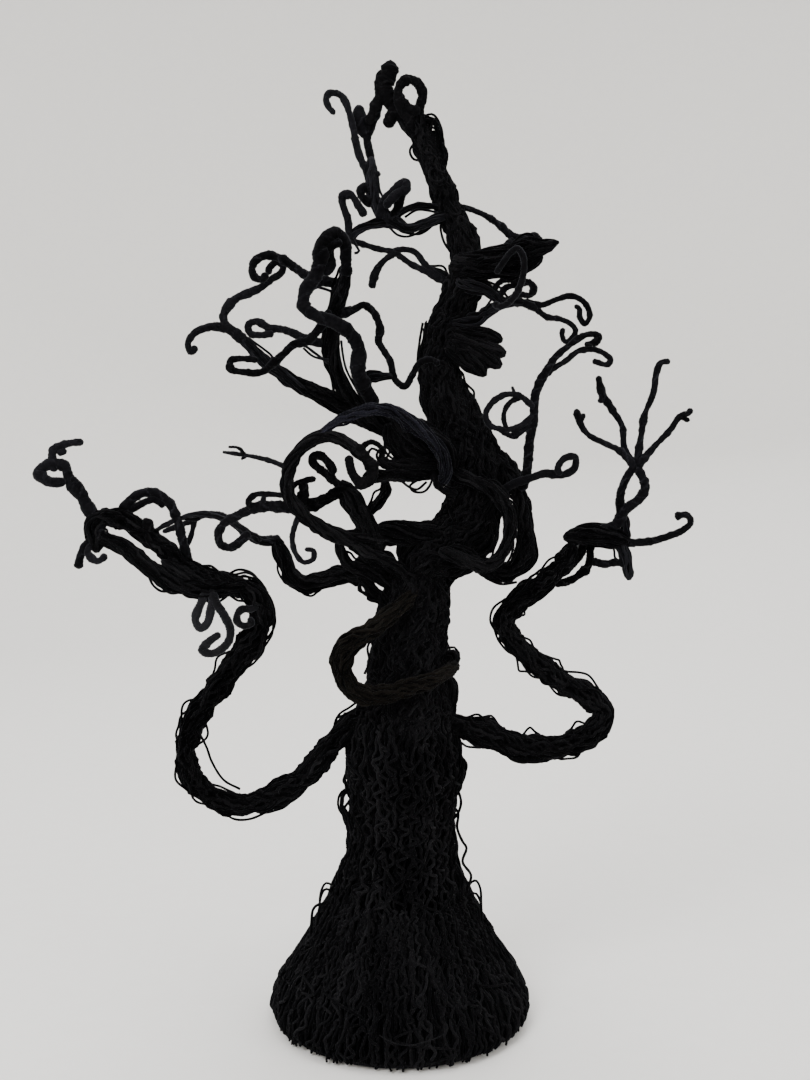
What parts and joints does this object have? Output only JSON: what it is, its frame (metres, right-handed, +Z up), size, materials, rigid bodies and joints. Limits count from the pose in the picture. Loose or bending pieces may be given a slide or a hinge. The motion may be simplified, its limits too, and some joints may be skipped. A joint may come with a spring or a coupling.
{
  "type": "artificial tabletop tree",
  "caption": "Abstract tabletop tree of bent wire limbs wrapped in black yarn, with curling twigs, a flared yarn skirt and a weighted round foot.",
  "frame": {"origin": "centre of the foot, on the surface the tree stands on", "axes": "+Z up along the trunk, +X towards the right arm as seen from the front, -Y towards the front"},
  "size_m": [0.4082, 0.164, 0.6006],
  "materials": {
    "black_yarn": "matte, fibrous",
    "wrapped_yarn": "matte, fuzzy",
    "stitch_thread": "matte",
    "felt_pad": "matte felt",
    "armature_wire": "drawn wire",
    "wood": "bare",
    "cast_plaster": "matte",
    "cardboard": "matte"
  },
  "bodies": {
    "trunk": {"arch_limb": "wrapped_yarn", "arm_cross_wire": "armature_wire", "arrow_twig": "wrapped_yarn", "back_left_twig": "wrapped_yarn", "back_left_wire": "armature_wire", "back_left_yarn": "black_yarn", "base_board": "wood", "base_felt": "felt_pad", "base_weight": "cast_plaster", "bough_wire": "armature_wire", "bough_yarn": "black_yarn", "bundle_coil_twig": "wrapped_yarn", "bundle_curl_twig": "wrapped_yarn", "cross_twig": "wrapped_yarn", "crown_cap": "black_yarn", "crown_leaf_twig": "wrapped_yarn", "crown_left_limb": "wrapped_yarn", "crown_right_twig": "wrapped_yarn", "crown_ring": "black_yarn", "crown_tall_twig": "wrapped_yarn", "ear_loop_yarn": "black_yarn", "foot_cone": "cardboard", "front_band_yarn": "black_yarn", "front_long_loop": "wrapped_yarn", "front_loop_wire": "armature_wire", "front_loop_yarn": "black_yarn", "hanging_hook_twig": "wrapped_yarn", "inner_stub_limb": "black_yarn", "leader_wire": "armature_wire", "leader_yarn_lower": "black_yarn", "leader_yarn_upper": "black_yarn", "left_curl_twig": "wrapped_yarn", "right_tuft": "black_yarn", "side_loop_twig": "wrapped_yarn", "skirt_stitch": "stitch_thread", "skirt_yarn": "black_yarn", "spiral_coil": "black_yarn", "spiral_limb": "black_yarn", "teardrop_twig": "wrapped_yarn", "top_curl_twig": "wrapped_yarn", "trunk_plug": "wood", "trunk_tube": "cardboard", "trunk_yarn_lower": "black_yarn", "trunk_yarn_upper": "black_yarn", "upper_right_bundle": "black_yarn", "upper_right_twig": "wrapped_yarn", "upright_limb": "black_yarn", "wavy_twig": "wrapped_yarn"},
    "left_arm": {"left_arm_wire": "armature_wire", "left_arm_yarn": "black_yarn", "left_hand_tip": "wrapped_yarn", "left_hand_hook": "wrapped_yarn", "left_arch_twig": "wrapped_yarn", "left_hanging_hooks": "wrapped_yarn"},
    "right_arm": {"right_arm_wire": "armature_wire", "right_arm_yarn": "black_yarn", "right_hand_twigs": "wrapped_yarn", "right_hand_hook": "wrapped_yarn"},
    "bough_tip": {"outer_bough": "wrapped_yarn"},
    "right_sprig": {"right_twig": "wrapped_yarn"}
  },
  "joints": [
    {"name": "left_arm_bend", "type": "hinge", "parent": "trunk", "child": "left_arm", "pos_m": [-0.028, -0.006, 0.197], "axis": [0, 0, 1], "range_deg": [-8, 25]},
    {"name": "right_arm_bend", "type": "hinge", "parent": "trunk", "child": "right_arm", "pos_m": [0.036, -0.005, 0.188], "axis": [0, 0, 1], "range_deg": [-15, 18]},
    {"name": "bough_tip_bend", "type": "hinge", "parent": "trunk", "child": "bough_tip", "pos_m": [-0.064, -0.022, 0.402], "axis": [0, 0, 1], "range_deg": [-12, 6]},
    {"name": "right_sprig_bend", "type": "hinge", "parent": "trunk", "child": "right_sprig", "pos_m": [0.077, -0.014, 0.347], "axis": [1, 0, 0], "range_deg": [-6, 14]}
  ]
}
